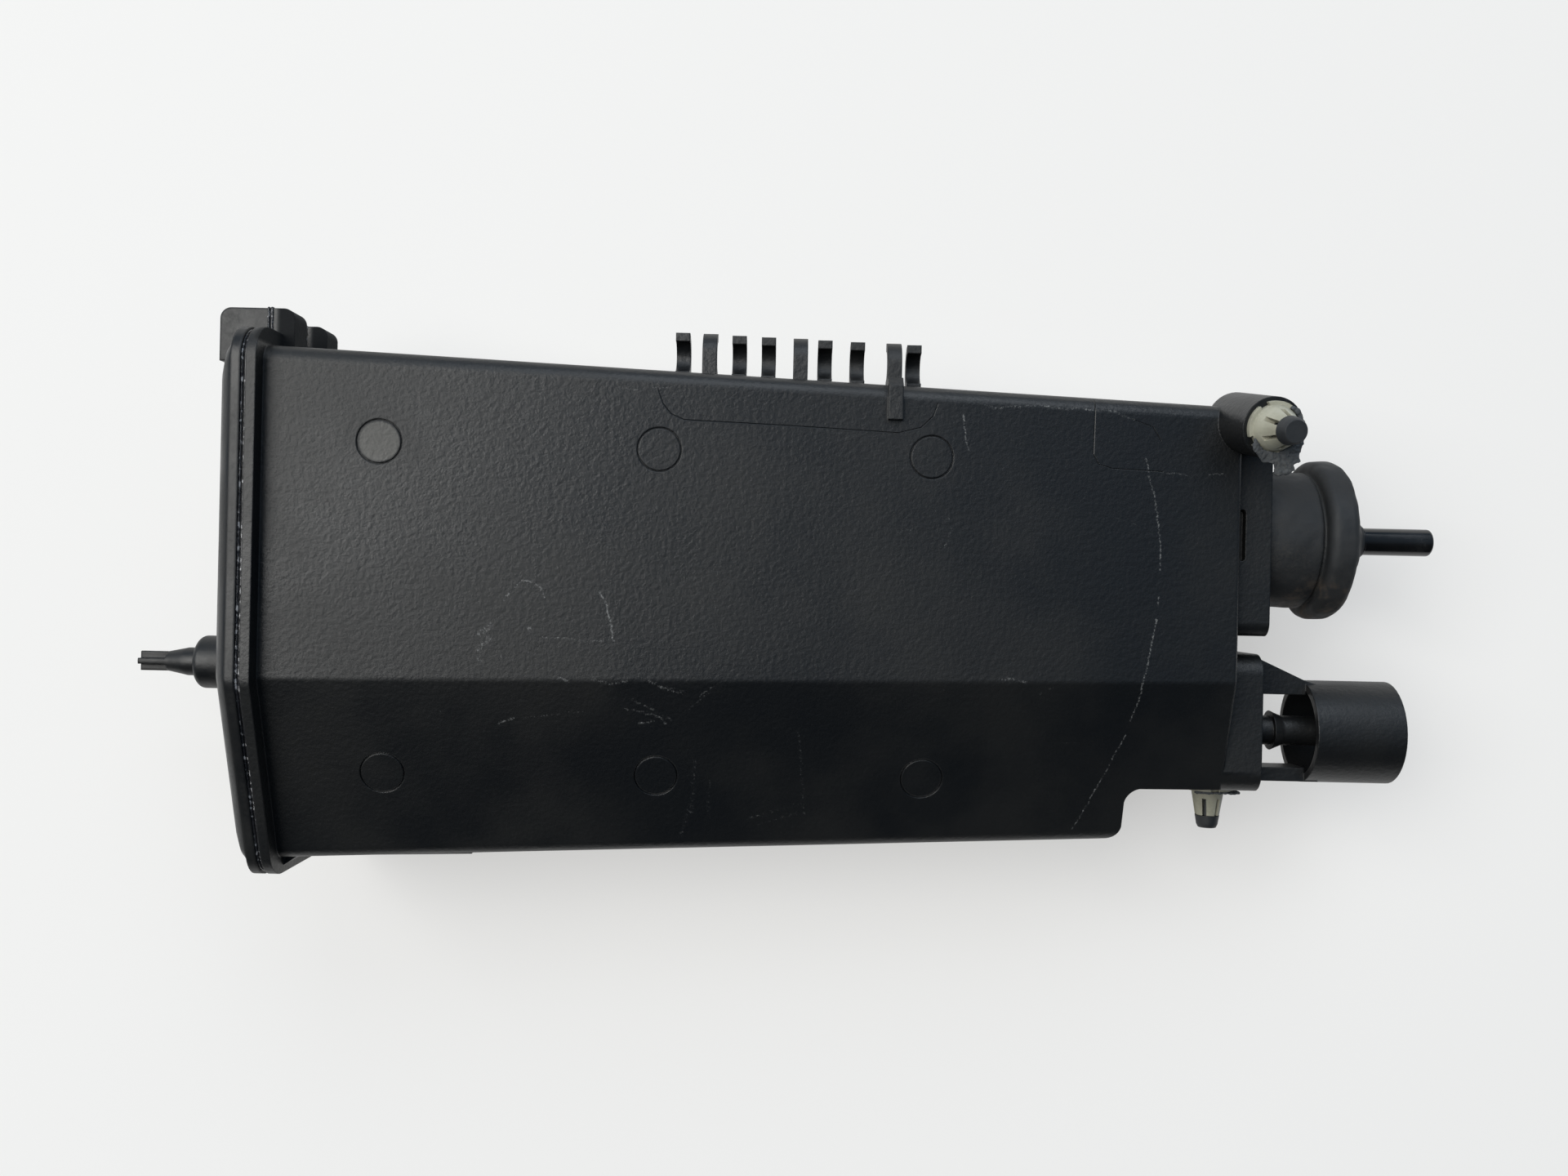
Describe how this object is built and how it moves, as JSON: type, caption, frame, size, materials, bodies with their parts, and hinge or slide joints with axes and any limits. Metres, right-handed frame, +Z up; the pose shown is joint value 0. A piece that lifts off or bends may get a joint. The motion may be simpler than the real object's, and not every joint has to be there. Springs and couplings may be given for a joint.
{
  "type": "charcoal canister",
  "caption": "Welded black plastic charcoal canister for a fuel tank's vapour, with a rubber boot and purge nipple, a guarded vent nipple, pipe clips and snap studs.",
  "frame": {"origin": "centre of the part's box on the surface that it lies on", "axes": "+X from the end cover to the ports, +Y across the front face towards the pipe clips, +Z up out of the front face"},
  "size_m": [0.381, 0.1552, 0.0986],
  "materials": {
    "housing_plastic": "fine moulded grain, worn satin black",
    "cover_plastic": "smooth satin black",
    "boot_rubber": "dusty matt rubber",
    "nipple_plastic": "glossy black",
    "collet_plastic": "ivory, a little dirty",
    "pin_plastic": "dull black",
    "washer_foam": "torn grey foam rubber",
    "fleece": "pressed filter fleece",
    "charcoal": "packed charcoal pellets",
    "plate_plastic": "plain moulded plastic",
    "spring_steel": "drawn spring wire"
  },
  "bodies": {
    "root": {"housing": "housing_plastic", "end_cover": "cover_plastic", "rubber_boot": "boot_rubber", "purge_nipple": "nipple_plastic", "upper_collet": "collet_plastic", "upper_pin": "pin_plastic", "upper_washer": "washer_foam", "lower_collet": "collet_plastic", "lower_pin": "pin_plastic", "lower_washer": "washer_foam", "upper_port_fleece": "fleece", "lower_port_fleece": "fleece", "upper_charcoal": "charcoal", "lower_charcoal": "charcoal", "upper_cover_fleece": "fleece", "lower_cover_fleece": "fleece", "upper_plate": "plate_plastic", "lower_plate": "plate_plastic", "upper_front_spring": "spring_steel", "upper_back_spring": "spring_steel", "lower_spring": "spring_steel"}
  },
  "joints": []
}
